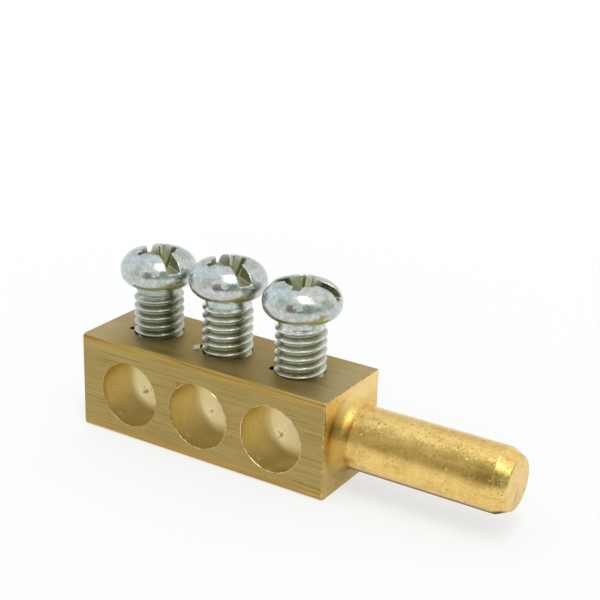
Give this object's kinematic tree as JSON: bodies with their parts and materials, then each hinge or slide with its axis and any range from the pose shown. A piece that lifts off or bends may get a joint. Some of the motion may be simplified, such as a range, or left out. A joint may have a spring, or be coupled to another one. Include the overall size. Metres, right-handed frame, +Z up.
{
  "type": "neutral terminal block",
  "caption": "Square brass terminal bar with blind wire holes in its front face, a clamp screw standing over each hole and a round connecting pin turned on one end.",
  "frame": {"origin": "centre of the square bar's underside, which it stands on", "axes": "+X along the bar to the pin's tip, -Y out of the wire holes, +Z up out of the screw heads"},
  "size_m": [0.0363, 0.008, 0.0155],
  "materials": {
    "brass": "drawn bar, bare, with fine lengthwise scratches; turned pin and drilled holes",
    "zinc_plated_steel": "bright clear zinc plating"
  },
  "bodies": {
    "body": {"terminal_body": "brass"},
    "screw_1": {"clamp_screw_1": "zinc_plated_steel"},
    "screw_2": {"clamp_screw_2": "zinc_plated_steel"},
    "screw_3": {"clamp_screw_3": "zinc_plated_steel"}
  },
  "joints": [
    {"name": "screw_1_drive", "type": "slide", "parent": "body", "child": "screw_1", "axis": [0, 0, -1], "range_m": [-0.0005, 0.00145]},
    {"name": "screw_2_drive", "type": "slide", "parent": "body", "child": "screw_2", "axis": [0, 0, -1], "range_m": [-0.0005, 0.00195]},
    {"name": "screw_3_drive", "type": "slide", "parent": "body", "child": "screw_3", "axis": [0, 0, -1], "range_m": [-0.0005, 0.00175]}
  ]
}
